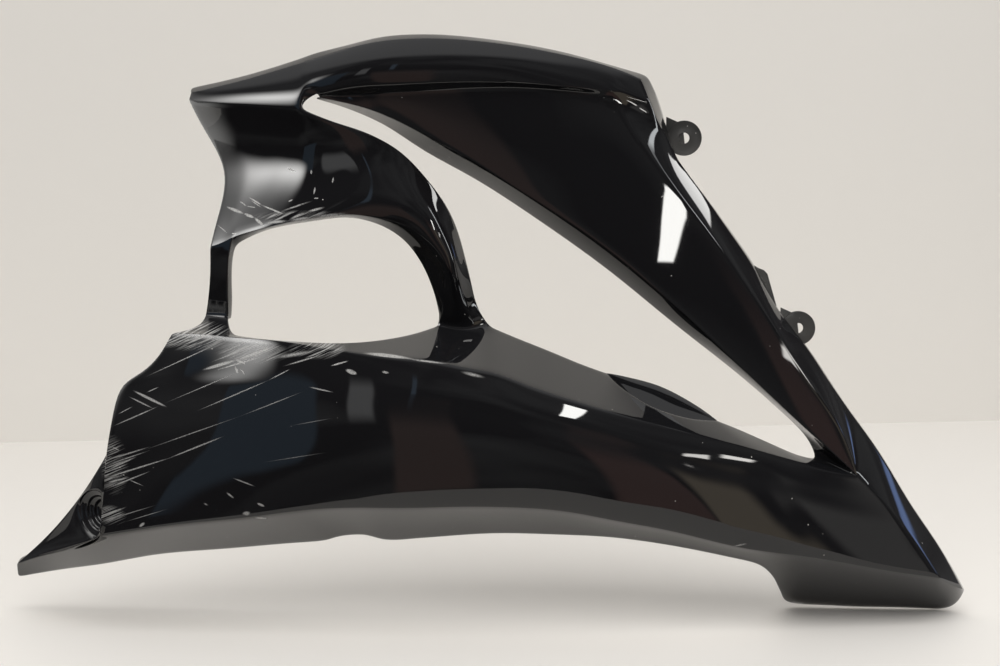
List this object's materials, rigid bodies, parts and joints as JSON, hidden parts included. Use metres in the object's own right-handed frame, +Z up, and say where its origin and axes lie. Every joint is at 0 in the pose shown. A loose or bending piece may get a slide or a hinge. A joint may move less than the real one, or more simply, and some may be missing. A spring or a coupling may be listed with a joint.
{
  "type": "motorcycle belly pan",
  "caption": "Right-hand gloss black moulded belly pan of a motorcycle fairing, with an arched window, a diagonal slot, an air scoop, an inward belly lip and ears for its fixings",
  "frame": {"origin": "centre of the hole in the upper ear, halfway through the ear", "axes": "+X to the front of the motorcycle along the panel, +Y inboard from the outer face towards the engine, +Z up"},
  "size_m": [0.8423, 0.1399, 0.5039],
  "materials": {
    "panel": "gloss"
  },
  "bodies": {
    "root": {"fairing_panel": "panel"}
  },
  "joints": []
}
